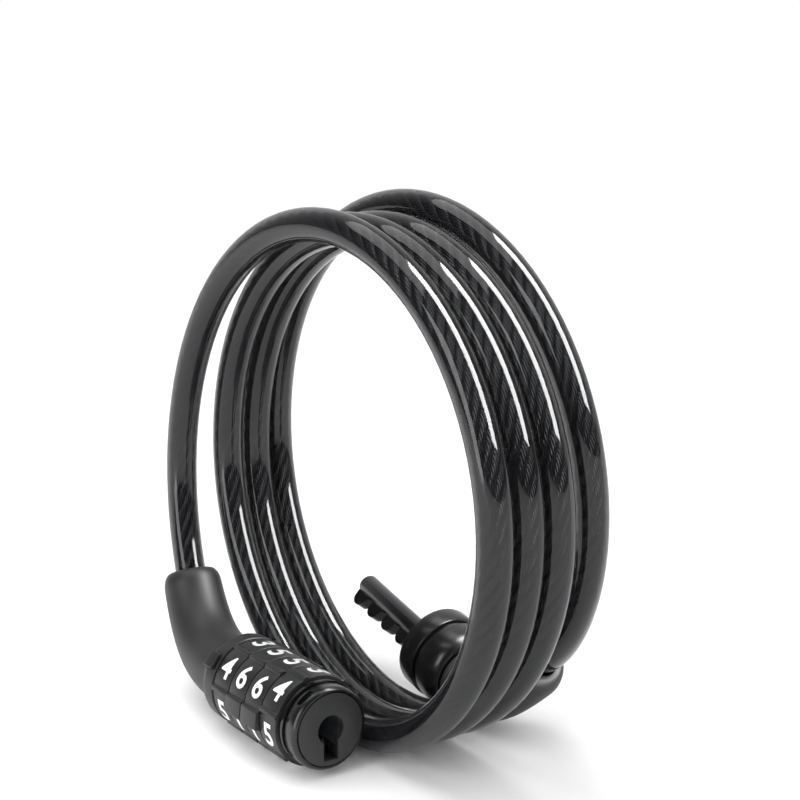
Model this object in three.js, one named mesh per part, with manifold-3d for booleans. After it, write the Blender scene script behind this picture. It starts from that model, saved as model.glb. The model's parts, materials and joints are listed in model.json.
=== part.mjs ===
// Self-coiling combination cable lock: a four-dial lock head, a keyed bolt, and the coiled cable
// that joins them. Units are millimetres, +Z is up and the ground is Z = 0.
// The cable stands on its rim, with the coil's axis along Y. The lock head lies in front of it (-Y)
// with its own axis along X, and the bolt lies behind it.
import * as THREE from 'three';
import * as BufferGeometryUtils from 'three/addons/utils/BufferGeometryUtils.js';
import Module from 'manifold-3d';

const wasm = await Module();
wasm.setup();

// ---------------------------------------------------------------- driving dimensions
// Cable and coil
const cableD = 8; // over the clear sheath
const ropeD = 4.8; // steel rope inside the sheath
const coilR = 59.5; // centreline of the even turns
const coilPitch = 8.4; // along Y, for each turn
const cableTurns = 3.72; // from the head's boot to the bolt's boot
const startAngle = 205; // where the cable leaves the head's boot, degrees round the coil
const ringFrom = 0.95; // the even turns that the plain ring stands for
const ringTo = 3.0;

// Dials and the parts on the head's axis
const dialCount = 4;
const digitCount = 6;
const dialWidth = 7;
const dialR = 10.9; // the digits' curved flats
const ridgeR = 11.5; // top of the ridges between the digits
const ridgeWidth = 1.3;
const wingR = 11.8; // top of each dial's wide finger lug
const wingWidth = 4.4;
const wingShift = 1.45; // from the ridge's own place, towards the next digit
const housingR = 11.1;
const housingLength = 5.8;
const flangeR = 10.2;
const flangeLength = 1.4;
const collarLength = 4.2;
const discThickness = 1.2;
const indexAngle = 37; // index line, degrees above the level on the -Y side

// Bolt and its socket
const shaftR = 2.85;
const toothReach = 6;
const toothWidth = 3.2;
const boltRingR = 11.2;
const boltRingLength = 7;
const boltCapR = 10.8;
const boltCapLength = 7.6;
const boltPitch = 11.5; // degrees that the bolt's tip points up
const boltYaw = 4; // degrees that its tip is turned away from the lock head
const boltRoll = 38; // degrees that its teeth are turned about its axis

// Boots
const bootWall = 4; // over the cable's sheath
const bootShoulder = 4.4; // length of the rounded mouth
const headBootShare = 0.84; // how much of the cable's tail each boot covers
const boltBootShare = 0.88;

// Clearances
const seatGap = 0.3; // between pieces that touch on the real lock
const dialGap = 0.4; // between two dials
const runGap = 0.35; // round a piece that turns
const boreGap = 0.75; // between the cable and its boot's bore
const keyGap = 0.6; // round the bolt's shaft in the keyhole
const toothGap = 1.4; // below the bolt's teeth in the keyhole

// Walls
const coreWall = 1.4;
const tumblerWall = 0.95; // outside the space that the teeth turn in
const hubWall = 0.6; // outside the keyhole's slot
const discLip = 0.6; // the disc's edge over its hub
const collarWall = 1.3; // the collar's front rim outside the disc
const mouthWall = 0.7; // each boot's edge at the cable

// ---------------------------------------------------------------- places that follow
const cableR = cableD / 2;
const ropeR = ropeD / 2;
const ground = -(coilR + cableR); // in the coil's frame, whose origin is the coil's centre
const bootR = cableR + bootWall;
const boreR = shaftR + keyGap;
const slotWidth = toothWidth + 2 * runGap;
const slotReach = toothReach + toothGap;
const coreR = boreR + coreWall;
const dialPitch = dialWidth + dialGap;
const dialsStart = housingLength + dialGap;
const dialsEnd = dialsStart + dialPitch * dialCount - dialGap;
const flangeStart = dialsEnd + dialGap;
const collarStart = flangeStart + flangeLength + seatGap;
const collarEnd = collarStart + collarLength;
const headFace = collarEnd + 0.2; // the disc stands a little proud of the collar
const discStart = headFace - discThickness;

// Inside the rear housing, from the back
const rearWall = 1.4;
const ferruleHeadLength = 1.2;
const coreRootStart = rearWall + ferruleHeadLength + 2 * seatGap;
const coreRootLength = 2;
const coreRootEnd = coreRootStart + coreRootLength;
const headPinR = 0.6;
const ferruleR = cableR - 0.15;
const ferruleHeadR = 5.2;
const ferruleTail = 4; // how far a ferrule reaches out of its housing, inside the boot

// Tumblers: splined sleeves inside the dials
const recessR = toothReach + runGap;
const tumblerR = recessR + tumblerWall;
const cavityR = recessR + 0.55; // the housing's hollow, open to the dials
const splineHeight = 0.6;
const splineWidth = 1;
const webLength = 1.8; // the toothed web that carries the gate

// Face end of the head, from the keyhole outwards
const hubR = slotReach + hubWall;
const discR = hubR + discLip;
const collarR = discR + collarWall;

// Places of the two groups in the coil's frame
const headAxisY = -16.9;
const headRearX = -24.2;
const headAxisZ = ground + wingR - 0.19; // the last dial rests on its wing
const boltFaceX = -6.7;
const boltAxisY = 31;
const boltFaceZ = ground + boltRingR + 2.6;

const rad = THREE.MathUtils.degToRad;
const X = new THREE.Vector3(1, 0, 0);

// ---------------------------------------------------------------- materials
const material = (color, roughness, metalness = 0) =>
  new THREE.MeshStandardMaterial({ color, roughness, metalness });
const satinBlack = material(0x2b2c2e, 0.5);
const dialBlack = material(0x303133, 0.55);
const glossBlack = material(0x0c0c0d, 0.15);
const bootBlack = material(0x2a2b2d, 0.6);
const steel = material(0x9a9c9e, 0.3, 1);
const castMetal = material(0x6a6c70, 0.4, 0.9);
const springSteel = material(0xb4b6b8, 0.25, 1);
const smokedSheath = material(0x1b1c1e, 0.2);

// ---------------------------------------------------------------- helpers
// Turns a geometry's triangles round if they point inwards, and leaves only positions.
function outward(geometry) {
  let g = geometry.index ? geometry : BufferGeometryUtils.mergeVertices(geometry);
  g = g.clone();
  g.deleteAttribute('normal');
  g.deleteAttribute('uv');
  g = BufferGeometryUtils.mergeVertices(g, 1e-5);
  const p = g.getAttribute('position');
  const [a, b, c] = [new THREE.Vector3(), new THREE.Vector3(), new THREE.Vector3()];
  const kept = [];
  let volume = 0;
  for (let i = 0; i < g.index.count; i += 3) {
    const [i0, i1, i2] = [g.index.getX(i), g.index.getX(i + 1), g.index.getX(i + 2)];
    if (i0 === i1 || i1 === i2 || i2 === i0) continue;
    a.fromBufferAttribute(p, i0);
    b.fromBufferAttribute(p, i1);
    c.fromBufferAttribute(p, i2);
    volume += a.dot(b.cross(c));
    kept.push(i0, i1, i2);
  }
  if (volume < 0) {
    for (let i = 0; i < kept.length; i += 3) [kept[i + 1], kept[i + 2]] = [kept[i + 2], kept[i + 1]];
  }
  g.setIndex(kept);
  return g;
}

function toSolid(geometry) {
  const g = outward(geometry);
  const vertProperties = new Float32Array(g.getAttribute('position').array);
  const triVerts = new Uint32Array(g.index.array);
  return new wasm.Manifold(new wasm.Mesh({ numProp: 3, vertProperties, triVerts }));
}

function toGeometry(solid) {
  const mesh = solid.getMesh();
  const g = new THREE.BufferGeometry();
  g.setAttribute('position', new THREE.BufferAttribute(new Float32Array(mesh.vertProperties), 3));
  g.setIndex(new THREE.BufferAttribute(new Uint32Array(mesh.triVerts), 1));
  return g;
}

// base + added - cut, each a list of geometries
function combine(base, added, cut) {
  let solid = toSolid(base);
  for (const g of added) solid = solid.add(toSolid(g));
  for (const g of cut) solid = solid.subtract(toSolid(g));
  return toGeometry(solid);
}

// A piece turned about X from a closed profile of [x, radius] points.
function turned(profile, segments = 40) {
  const points = [...profile, profile[0]].map(([x, r]) => new THREE.Vector2(r, x));
  return new THREE.LatheGeometry(points, segments).rotateZ(-Math.PI / 2);
}

// An outline in the YZ plane, extruded from x0 to x1.
function extrudedX(shape, x0, x1) {
  const g = new THREE.ExtrudeGeometry(shape, { depth: x1 - x0, bevelEnabled: false, steps: 1 });
  return g.applyMatrix4(new THREE.Matrix4().makeBasis(
    new THREE.Vector3(0, 1, 0), new THREE.Vector3(0, 0, 1), X)).translate(x0, 0, 0);
}

function rod(radius, from, to, segments = 16) {
  const axis = to.clone().sub(from);
  const g = new THREE.CylinderGeometry(radius, radius, axis.length(), segments);
  g.applyQuaternion(new THREE.Quaternion().setFromUnitVectors(new THREE.Vector3(0, 1, 0),
    axis.clone().normalize()));
  const middle = from.clone().add(to).multiplyScalar(0.5);
  return g.translate(middle.x, middle.y, middle.z);
}

function box(x0, x1, y0, y1, z0, z1) {
  return new THREE.BoxGeometry(x1 - x0, y1 - y0, z1 - z0)
    .translate((x0 + x1) / 2, (y0 + y1) / 2, (z0 + z1) / 2);
}

// Points round a circle from one angle to another, in degrees.
function arc(r, from, to, steps) {
  return Array.from({ length: steps + 1 }, (_, i) => {
    const a = rad(from + ((to - from) * i) / steps);
    return [r * Math.cos(a), r * Math.sin(a)];
  });
}

const outline = (points) => new THREE.Shape(points.map(([a, b]) => new THREE.Vector2(a, b)));
const hole = (points) => new THREE.Path(points.map(([a, b]) => new THREE.Vector2(a, b)));

// A ring outline with equal teeth: radius low, with teeth of the given width that reach high.
function toothedRing(low, high, width, count, firstAngle) {
  const step = 360 / count;
  const half = THREE.MathUtils.radToDeg(Math.asin(width / 2 / Math.max(low, high)));
  return Array.from({ length: count }, (_, i) => {
    const at = firstAngle + i * step;
    const tooth = [at - half, at + half].map((d) => [high * Math.cos(rad(d)), high * Math.sin(rad(d))]);
    return [...tooth, ...arc(low, at + half * 1.15, at + step - half * 1.15, 5)];
  }).flat();
}

// An angle measured up from the -Y side, as an angle in the YZ plane.
const upFromFront = (degrees) => 180 - degrees;
const across = (degrees, r) => new THREE.Vector3(0, Math.cos(rad(degrees)), Math.sin(rad(degrees)))
  .multiplyScalar(r);

const model = new THREE.Group();
const head = new THREE.Group();
head.position.set(headRearX, headAxisY, headAxisZ);
const bolt = new THREE.Group();
bolt.position.set(boltFaceX, boltAxisY, boltFaceZ);
// The bolt's own axis runs along +X inside its group, which is turned to point it to -X and up.
bolt.rotation.set(0, rad(boltPitch), Math.PI, 'YXZ');
bolt.rotateOnWorldAxis(new THREE.Vector3(0, 0, 1), rad(-boltYaw));
model.add(head, bolt);

function piece(parent, name, geometry, finish) {
  const mesh = new THREE.Mesh(outward(geometry), finish);
  mesh.name = name;
  parent.add(mesh);
  return mesh;
}

// ---------------------------------------------------------------- cable
const smooth = (v) => THREE.MathUtils.smoothstep(v, 0, 1);

// The coiled stretch: even turns that spring open towards both ends, as such a cable does.
function coilPoint(turn) {
  const left = cableTurns - turn;
  const nearHead = Math.exp(-turn / 0.2);
  const nearBolt = Math.exp(-left / 0.15);
  const last = smooth((turn - 2.8) / 0.6);
  const r = coilR + 6.8 * nearHead - 5.2 * nearBolt + 1.8 * smooth((turn - 2.77) / 0.45);
  const a = rad(startAngle - 360 * turn);
  return new THREE.Vector3(
    r * Math.cos(a) - 3.2 * last,
    coilPitch * (turn - 1) - 3.8 * nearHead + 14.2 * Math.exp(-left / 0.12),
    r * Math.sin(a) + 3.3 * last);
}

function coilDirection(turn) {
  return coilPoint(turn + 0.001).sub(coilPoint(turn - 0.001)).normalize();
}

class CoilStretch extends THREE.Curve {
  constructor(from, to) {
    super();
    this.from = from;
    this.to = to;
  }

  getPoint(t) {
    return coilPoint(this.from + (this.to - this.from) * t);
  }
}

// The tails run from each ferrule, in line with its housing, to the ends of the coil.
function tail(start, direction, end, endDirection, reachStart, reachEnd) {
  return new THREE.CubicBezierCurve3(
    start,
    start.clone().addScaledVector(direction, reachStart),
    end.clone().addScaledVector(endDirection, -reachEnd),
    end);
}

const headReach = [8, 26]; // how far each end of a tail holds its direction
const boltReach = [8, 9];
const headTailStart = new THREE.Vector3(headRearX - ferruleTail - seatGap, headAxisY, headAxisZ);
const headTail = tail(headTailStart, new THREE.Vector3(-1, 0, 0),
  coilPoint(0), coilDirection(0), headReach[0], headReach[1]);
const boltAxis = new THREE.Vector3(1, 0, 0).applyQuaternion(bolt.quaternion);
const boltRear = boltRingLength + boltCapLength + 2 * seatGap;
const boltTailStart = new THREE.Vector3(boltFaceX, boltAxisY, boltFaceZ)
  .addScaledVector(boltAxis, -(boltRear + ferruleTail + seatGap));
const boltTail = tail(boltTailStart, boltAxis.clone().negate(),
  coilPoint(cableTurns), coilDirection(cableTurns).negate(), boltReach[0], boltReach[1]);

// A run of cable: a tail, then the coil from its end to the plain ring.
function run(tailCurve, coilFrom, coilTo) {
  const path = new THREE.CurvePath();
  path.add(tailCurve);
  path.add(new CoilStretch(coilFrom, coilTo));
  return path;
}

function cableTube(path, steps) {
  const section = outline(arc(cableR, 0, 324, 9));
  return new THREE.ExtrudeGeometry(section, { steps, bevelEnabled: false, extrudePath: path });
}

piece(model, 'cable_head_run', cableTube(run(headTail, 0, ringFrom), 46), smokedSheath);
piece(model, 'cable_bolt_run', cableTube(run(boltTail, cableTurns, ringTo), 40), smokedSheath);

const ringY0 = coilPoint(ringFrom).y + cableR + seatGap;
const ringY1 = coilPoint(ringTo).y - cableR - seatGap;
piece(model, 'cable_coil', turned([[ringY0, coilR - cableR], [ringY0, coilR + cableR],
  [ringY1, coilR + cableR], [ringY1, coilR - cableR]], 72).rotateZ(Math.PI / 2), smokedSheath);

// ---------------------------------------------------------------- boots
// Bends a piece turned about X so that its axis follows a curve; x is the distance along it.
function bentAlong(geometry, curve) {
  const g = geometry.clone();
  const p = g.getAttribute('position');
  const length = curve.getLength();
  const side = new THREE.Vector3(0, 1, 0);
  const v = new THREE.Vector3();
  for (let i = 0; i < p.count; i += 1) {
    v.fromBufferAttribute(p, i);
    const t = THREE.MathUtils.clamp(v.x / length, 0, 1);
    const along = curve.getTangentAt(t);
    const n = side.clone().addScaledVector(along, -side.dot(along)).normalize();
    const b = along.clone().cross(n);
    const at = curve.getPointAt(t).addScaledVector(along, v.x - t * length)
      .addScaledVector(n, v.y).addScaledVector(b, v.z);
    p.setXYZ(i, at.x, at.y, at.z);
  }
  return g;
}

// A moulded elbow boot. x is measured from the cable's bare end, so the boot's foot is at -setBack.
function boot(curve, share, footR, waistR, mouthR, foot) {
  const mouth = curve.getLength() * share;
  const bore = cableR + boreGap;
  const body = mouth - bootShoulder;
  const rows = 9;
  const profile = [[foot, bore], [foot, footR], [foot + 1.4, footR], [foot + 3, waistR]];
  for (let i = 1; i <= rows; i += 1) {
    profile.push([foot + 3 + ((body - foot - 3) * i) / rows, waistR + ((mouthR - waistR) * i) / rows]);
  }
  const drop = mouthR - bore - mouthWall;
  for (let i = 1; i <= 5; i += 1) {
    const a = rad(18 * i);
    profile.push([body + bootShoulder * Math.sin(a), mouthR - drop * (1 - Math.cos(a))]);
  }
  profile.push([mouth, bore]);
  for (let i = rows - 1; i >= 1; i -= 1) profile.push([foot + ((mouth - foot) * i) / rows, bore]);
  return bentAlong(turned(profile, 32), curve);
}

const footBack = -ferruleTail; // the foot sits just behind its housing
piece(model, 'head_boot', boot(headTail, headBootShare, bootR + 1.2, bootR + 0.9, bootR - 0.4, footBack), bootBlack);
piece(model, 'bolt_boot', boot(boltTail, boltBootShare, bootR + 0.6, bootR, bootR, footBack), bootBlack);

// ---------------------------------------------------------------- lock head: fixed parts
// The quarter round from a rear face at x = 0 to the outer radius.
const rearRounding = (size, r) => arc(size, 180, 90, 5).map(([a, b]) => [size + a, r - size + b]);

const pinHoleR = headPinR + 0.15;
const pinX = coreRootStart + coreRootLength / 2;
const pinSide = new THREE.Vector3(0, 1, 0);
const pinFrom = (r) => pinSide.clone().multiplyScalar(r).setX(pinX);

const padWidth = 4.2;
const padDepth = 0.7; // the pad's pocket in the housing
const padLength = 3.9;
const padX = 0.9;
// A block standing on the head's surface at the index line, from radius r0 to r1.
function indexBlock(x0, x1, width, r0, r1) {
  return box(x0, x1, -width / 2, width / 2, r0, r1).rotateX(rad(90 - indexAngle));
}

const housingBody = turned([
  [0, ferruleR + seatGap],
  ...rearRounding(2.2, housingR),
  [housingLength, housingR], [housingLength, cavityR],
  [rearWall, cavityR], [rearWall, ferruleR + seatGap]], 48);
piece(head, 'rear_housing', combine(housingBody, [], [
  rod(pinHoleR, pinFrom(cavityR - 1), pinFrom(housingR + 1)),
  indexBlock(padX - seatGap, padX + padLength + seatGap, padWidth + 2 * seatGap,
    housingR - padDepth, housingR + 1),
]), satinBlack);
piece(head, 'index_pad', indexBlock(padX, padX + padLength, padWidth,
  housingR - padDepth + seatGap, housingR + 0.9), satinBlack);

// Core tube: a slotted tube on a root disc. The slot faces down and lets the bolt's teeth pass.
const springGroove = 0.75;
const springWidth = 2;
const coreEnd = discStart - seatGap;
const slotHalf = THREE.MathUtils.radToDeg(Math.asin(slotWidth / 2 / coreR));
const slotHalfIn = THREE.MathUtils.radToDeg(Math.asin(slotWidth / 2 / boreR));
const coreSection = outline([
  ...arc(coreR, -90 + slotHalf, 270 - slotHalf, 36),
  ...arc(boreR, 270 - slotHalfIn, -90 + slotHalfIn, 28)]);
const coreRoot = turned([[coreRootStart, 0], [coreRootStart, cavityR - seatGap],
  [coreRootEnd, cavityR - seatGap], [coreRootEnd, 0]], 36);
const capPinX = collarStart + collarLength * 0.4;
const capPinR = 0.8;
const upAt = (x, r) => new THREE.Vector3(x, 0, r);
piece(head, 'core_tube', combine(extrudedX(coreSection, coreRootEnd - 0.5, coreEnd), [coreRoot], [
  rod(pinHoleR, pinFrom(ferruleHeadR - 0.7), pinFrom(cavityR + 1)),
  box(coreRootEnd + 0.4, dialsEnd, -springWidth / 2 - seatGap, springWidth / 2 + seatGap,
    coreR - springGroove, coreR + 1),
  rod(capPinR + 0.15, upAt(capPinX, boreR - 1), upAt(capPinX, coreR + 1)),
]), castMetal);
piece(head, 'core_pin', rod(headPinR, pinFrom(ferruleHeadR - 0.4), pinFrom(housingR - 0.4)), steel);

// Wave washer that keeps the tumblers pressed towards the flange.
function waveWasher() {
  const g = turned([[-0.15, coreR + runGap], [-0.15, tumblerR - 0.9], [0.15, tumblerR - 0.9],
    [0.15, coreR + runGap]], 36);
  const p = g.getAttribute('position');
  const middle = (coreRootEnd + dialsStart) / 2;
  const swing = (dialsStart - coreRootEnd) / 2 - 0.15 - 0.2;
  for (let i = 0; i < p.count; i += 1) {
    const a = Math.atan2(p.getZ(i), p.getY(i));
    p.setX(i, p.getX(i) + middle + swing * Math.cos(3 * a));
  }
  return g;
}
piece(head, 'stack_spring', waveWasher(), springSteel);

// Leaf spring in the core's groove, with a low bump under each tumbler's web.
const stripTop = coreR - 0.1;
const stripThickness = springGroove - seatGap - 0.1;
function detentStrip() {
  const start = coreRootEnd + 0.7;
  const end = dialsEnd - seatGap;
  const points = [[start, stripTop - stripThickness], [end, stripTop - stripThickness]];
  const top = [];
  for (let i = 0; i < dialCount; i += 1) {
    const at = dialsStart + i * dialPitch + dialWidth - webLength / 2;
    top.push([at - 0.9, stripTop], [at - 0.4, coreR + 0.1], [at + 0.4, coreR + 0.1], [at + 0.9, stripTop]);
  }
  const side = outline([...points, [end, stripTop], ...top.reverse(), [start, stripTop]]);
  const g = new THREE.ExtrudeGeometry(side, { depth: springWidth, bevelEnabled: false });
  return g.rotateX(Math.PI / 2).translate(0, springWidth / 2, 0);
}
piece(head, 'detent_spring', detentStrip(), springSteel);

// A hole round the core tube, with room below it for the bolt's teeth.
function coreHole() {
  const r = coreR + seatGap;
  const half = THREE.MathUtils.radToDeg(Math.asin(slotWidth / 2 / r));
  return hole([...arc(r, -90 + half, 270 - half, 30),
    [-slotWidth / 2, -slotReach], [slotWidth / 2, -slotReach]]);
}

const flangeShape = outline(arc(flangeR, 0, 352.5, 47));
flangeShape.holes.push(coreHole());
piece(head, 'end_flange', extrudedX(flangeShape, flangeStart, flangeStart + flangeLength), glossBlack);

// End cap: a hub that the collar turns on, and the face disc with the keyhole.
const hubShape = outline(arc(hubR, 0, 350, 35));
hubShape.holes.push(coreHole());
const keyShape = outline(arc(discR, 0, 352.5, 47));
const keyHalf = THREE.MathUtils.radToDeg(Math.asin(slotWidth / 2 / boreR));
keyShape.holes.push(hole([...arc(boreR, -90 + keyHalf, 270 - keyHalf, 28),
  [-slotWidth / 2, -slotReach], [slotWidth / 2, -slotReach]]));
piece(head, 'end_cap', combine(extrudedX(keyShape, discStart, headFace),
  [extrudedX(hubShape, collarStart, discStart + 0.2)],
  [rod(capPinR + 0.15, upAt(capPinX, coreR - 1), upAt(capPinX, hubR + 1))]), satinBlack);
piece(head, 'end_cap_pin', rod(capPinR, upAt(capPinX, boreR + 0.4), upAt(capPinX, hubR - 0.2)), steel);

// Code-change collar: turns a quarter turn on the hub, with a slot for a coin edge.
const collarSlotAngle = 57;
const collarBevel = 0.9;
const collarBody = turned([
  [collarStart, hubR + runGap], [collarStart, collarR - 0.4], [collarStart + 0.4, collarR],
  [collarEnd - collarBevel, collarR], [collarEnd - 0.25, collarR - 0.3], [collarEnd, collarR - 0.45],
  [collarEnd, discR + runGap], [discStart - runGap, discR + runGap],
  [discStart - runGap, hubR + runGap]], 48);
const slotMiddle = collarStart + 2.2;
piece(head, 'code_change_collar', combine(collarBody, [], [
  box(slotMiddle - 1, slotMiddle + 1, -2.2, 2.2, collarR - 1.3, collarR + 1)
    .rotateX(rad(90 - collarSlotAngle)),
]), satinBlack);

// ---------------------------------------------------------------- dials and tumblers
// The digit on the index line of each dial. The digits run from 1, and the wing stands after the last.
const shownDigits = [4, 6, 6, 4];
const restTurn = [0, 0, 0, 10]; // degrees that each dial rests past its click
const step = 360 / digitCount;

// Angle in the YZ plane of a digit's flat, for the dial that shows the given digit.
// Larger digits come below the index line on the front.
const digitAngle = (digit, shown, past = 0) => upFromFront(indexAngle + past - (digit - shown) * step);

// Curved flats with a ridge between each two, one of them widened and raised into the wing.
function dialOutline(shown, past) {
  const points = [];
  for (let i = 1; i <= digitCount; i += 1) {
    const at = digitAngle(i + 0.5, shown, past);
    const [top, width, shift] = i === digitCount ? [wingR, wingWidth, wingShift] : [ridgeR, ridgeWidth, 0];
    const a = rad(at);
    const [cos, sin] = [Math.cos(a), Math.sin(a)];
    const across = width / 2;
    const foot = (side) => Math.sqrt(dialR * dialR - side * side);
    for (const [along, out] of [[-across - 0.2, 0], [-across, top - 0.25], [-across + 0.3, top],
      [across - 0.3, top], [across, top - 0.25], [across + 0.2, 0]]) {
      const side = along + shift;
      const height = out || foot(side);
      points.push([height * cos - side * sin, height * sin + side * cos]);
    }
    const next = i + 1 === digitCount ? wingShift - wingWidth / 2 : -ridgeWidth / 2;
    const from = at + THREE.MathUtils.radToDeg(Math.asin((across + shift + 0.2) / dialR));
    const to = at + step + THREE.MathUtils.radToDeg(Math.asin((next - 0.2) / dialR));
    points.push(...arc(dialR, from, to, 9).slice(1, -1));
  }
  return outline(points);
}

for (let i = 0; i < dialCount; i += 1) {
  const shown = shownDigits[i];
  const x0 = dialsStart + i * dialPitch;
  const past = restTurn[i];
  const splineAngle = digitAngle(0.5, shown, past);
  const shape = dialOutline(shown, past);
  shape.holes.push(hole(toothedRing(tumblerR + seatGap, tumblerR + splineHeight + seatGap,
    splineWidth + 2 * seatGap, digitCount, splineAngle)));
  piece(head, `dial_${i + 1}`, extrudedX(shape, x0, x0 + dialWidth), dialBlack);

  const sleeve = () => outline(toothedRing(tumblerR, tumblerR + splineHeight, splineWidth,
    digitCount, splineAngle));
  const open = sleeve();
  open.holes.push(hole(arc(recessR, 0, 350, 35)));
  const web = sleeve();
  const clickR = coreR + runGap + 0.45;
  web.holes.push(hole(toothedRing(coreR + runGap, clickR, 1.2, digitCount, splineAngle)));
  const webStart = x0 + dialWidth - webLength;
  // The gate lines up with the core's slot when this dial shows its code digit.
  const codeDigit = (2 * i + 1) % digitCount;
  const gate = box(webStart - 1, x0 + dialWidth + 1, -slotWidth / 2, slotWidth / 2,
    -recessR, -coreR).rotateX(rad(-(codeDigit - shown) * step - past));
  piece(head, `tumbler_${i + 1}`, combine(extrudedX(open, x0, webStart + 0.1),
    [extrudedX(web, webStart, x0 + dialWidth)], [gate]), castMetal);
}

// ---------------------------------------------------------------- ferrules and rope ends
// A crimped sleeve whose head bears on the inside of its housing's rear wall.
// x runs from the housing's rear face (0) into the housing.
function ferrule(wall) {
  const inside = ropeR + seatGap;
  const headStart = wall + seatGap;
  return turned([[-ferruleTail, inside], [-ferruleTail, ferruleR - 0.5], [-ferruleTail + 0.5, ferruleR],
    [headStart, ferruleR], [headStart, ferruleHeadR],
    [headStart + ferruleHeadLength, ferruleHeadR], [headStart + ferruleHeadLength, inside]], 28);
}

const ropeStub = (wall) => rod(ropeR, new THREE.Vector3(-ferruleTail, 0, 0),
  new THREE.Vector3(wall + ferruleHeadLength - 0.2, 0, 0), 20);
piece(head, 'head_ferrule', ferrule(rearWall), steel);
piece(head, 'head_rope_end', ropeStub(rearWall), steel);

// ---------------------------------------------------------------- bolt
// Inside the bolt's group x is measured from its front face towards the tip.
const shaftLength = headFace - coreRootEnd - runGap;
const shaftRootR = 6;
const shaftRootLength = 2.4;
const ringBack = -boltRingLength;
const shaftRootX = ringBack - seatGap;
const lobeLength = dialWidth - webLength - 2 * runGap;

// One tooth: a rounded lobe below the shaft.
function tooth(x) {
  const half = lobeLength / 2;
  const rounding = arc(half, 180, 360, 8).map(([a, b]) => [x + a, -(toothReach - half) + b]);
  const g = new THREE.ExtrudeGeometry(outline([[x + half, 0], [x - half, 0], ...rounding]),
    { depth: toothWidth, bevelEnabled: false });
  return g.rotateX(Math.PI / 2).translate(0, toothWidth / 2, 0);
}

const teeth = Array.from({ length: dialCount }, (_, i) =>
  tooth(headFace - (dialsStart + i * dialPitch + (dialWidth - webLength) / 2)));
const shaftBody = turned([
  [shaftRootX - shaftRootLength, 0], [shaftRootX - shaftRootLength, shaftRootR],
  [shaftRootX, shaftRootR], [shaftRootX, shaftR], [shaftLength - 1.2, shaftR],
  [shaftLength - 0.4, shaftR - 0.7], [shaftLength, shaftR - 1.6], [shaftLength, 0]], 32);
const boltPinX = shaftRootX - shaftRootLength / 2;
const boltPinFrom = (r) => new THREE.Vector3(boltPinX, r, 0);
const capBoreR = 6.4;
piece(bolt, 'bolt_shaft', combine(shaftBody, teeth,
  [rod(pinHoleR, boltPinFrom(shaftRootR - 2), boltPinFrom(shaftRootR + 1))])
  .rotateX(rad(boltRoll)), steel);

piece(bolt, 'bolt_ring', turned([
  [ringBack, shaftR + seatGap], [ringBack, boltRingR - 1], [ringBack + 0.8, boltRingR - 1],
  [ringBack + 0.8, boltRingR - 0.3], [ringBack + 1.1, boltRingR], [-0.6, boltRingR],
  [0, boltRingR - 0.6], [0, shaftR + seatGap]], 48), satinBlack);

// The cap is a cup, closed at the back by the wall that the ferrule bears on.
const capFront = ringBack - seatGap;
const capBack = -boltRear;
const capRound = 4;
const capProfile = [[capFront, capBoreR], [capFront, boltCapR]];
for (let i = 0; i <= 5; i += 1) {
  const a = rad(18 * i);
  capProfile.push([capBack + capRound - capRound * Math.sin(a), boltCapR - 2 * (1 - Math.cos(a))]);
}
capProfile.push([capBack, ferruleR + seatGap], [capBack + rearWall, ferruleR + seatGap],
  [capBack + rearWall, capBoreR]);
piece(bolt, 'bolt_cap', combine(turned(capProfile, 48), [],
  [rod(pinHoleR, boltPinFrom(capBoreR - 1), boltPinFrom(boltCapR + 1)).rotateX(rad(boltRoll))]),
  satinBlack);
piece(bolt, 'bolt_pin', rod(headPinR, boltPinFrom(shaftRootR - 1.7), boltPinFrom(boltCapR - 0.5))
  .rotateX(rad(boltRoll)), steel);
piece(bolt, 'bolt_ferrule', ferrule(rearWall).translate(capBack, 0, 0), steel);
piece(bolt, 'bolt_rope_end', ropeStub(rearWall).translate(capBack, 0, 0), steel);

// ---------------------------------------------------------------- the part's own origin
// The origin is on the ground, under the middle of the box round the lock head and the bolt.
const cableNodes = new Set(['cable_head_run', 'cable_bolt_run', 'cable_coil']);
model.updateMatrixWorld(true);
const hard = new THREE.Box3();
model.traverse((o) => {
  if (o.isMesh && !cableNodes.has(o.name)) hard.expandByObject(o, true);
});
const middle = hard.getCenter(new THREE.Vector3());
model.position.set(-middle.x, -middle.y, -Math.min(hard.min.z, ground));
model.updateMatrixWorld(true);

export default model;
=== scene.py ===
"""Cable lock: a dial lock head and a toothed bolt on a coiled steel cable in a smoked clear sheath.

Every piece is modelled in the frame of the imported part, in metres, around its nodes.
"""
import json
import math

import bpy
from mathutils import Matrix, Vector
from bpy.props import FloatProperty, FloatVectorProperty, IntProperty, PointerProperty


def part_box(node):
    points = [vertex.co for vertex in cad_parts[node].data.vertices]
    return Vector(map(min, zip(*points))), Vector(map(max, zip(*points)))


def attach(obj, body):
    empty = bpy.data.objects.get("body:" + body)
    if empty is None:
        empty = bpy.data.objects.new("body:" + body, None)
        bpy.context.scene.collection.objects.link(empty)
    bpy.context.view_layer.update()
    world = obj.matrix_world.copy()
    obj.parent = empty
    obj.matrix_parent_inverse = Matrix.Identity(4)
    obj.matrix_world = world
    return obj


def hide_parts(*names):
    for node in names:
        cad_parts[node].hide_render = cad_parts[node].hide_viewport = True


bl_info = {
    "name": "Cable lock",
    "version": (1, 0, 0),
    "blender": (4, 5, 0),
    "location": "3D View > Sidebar > Cable lock",
    "description": "Models a coiled combination cable lock, its finishes and its stage",
    "category": "Object",
}

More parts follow.
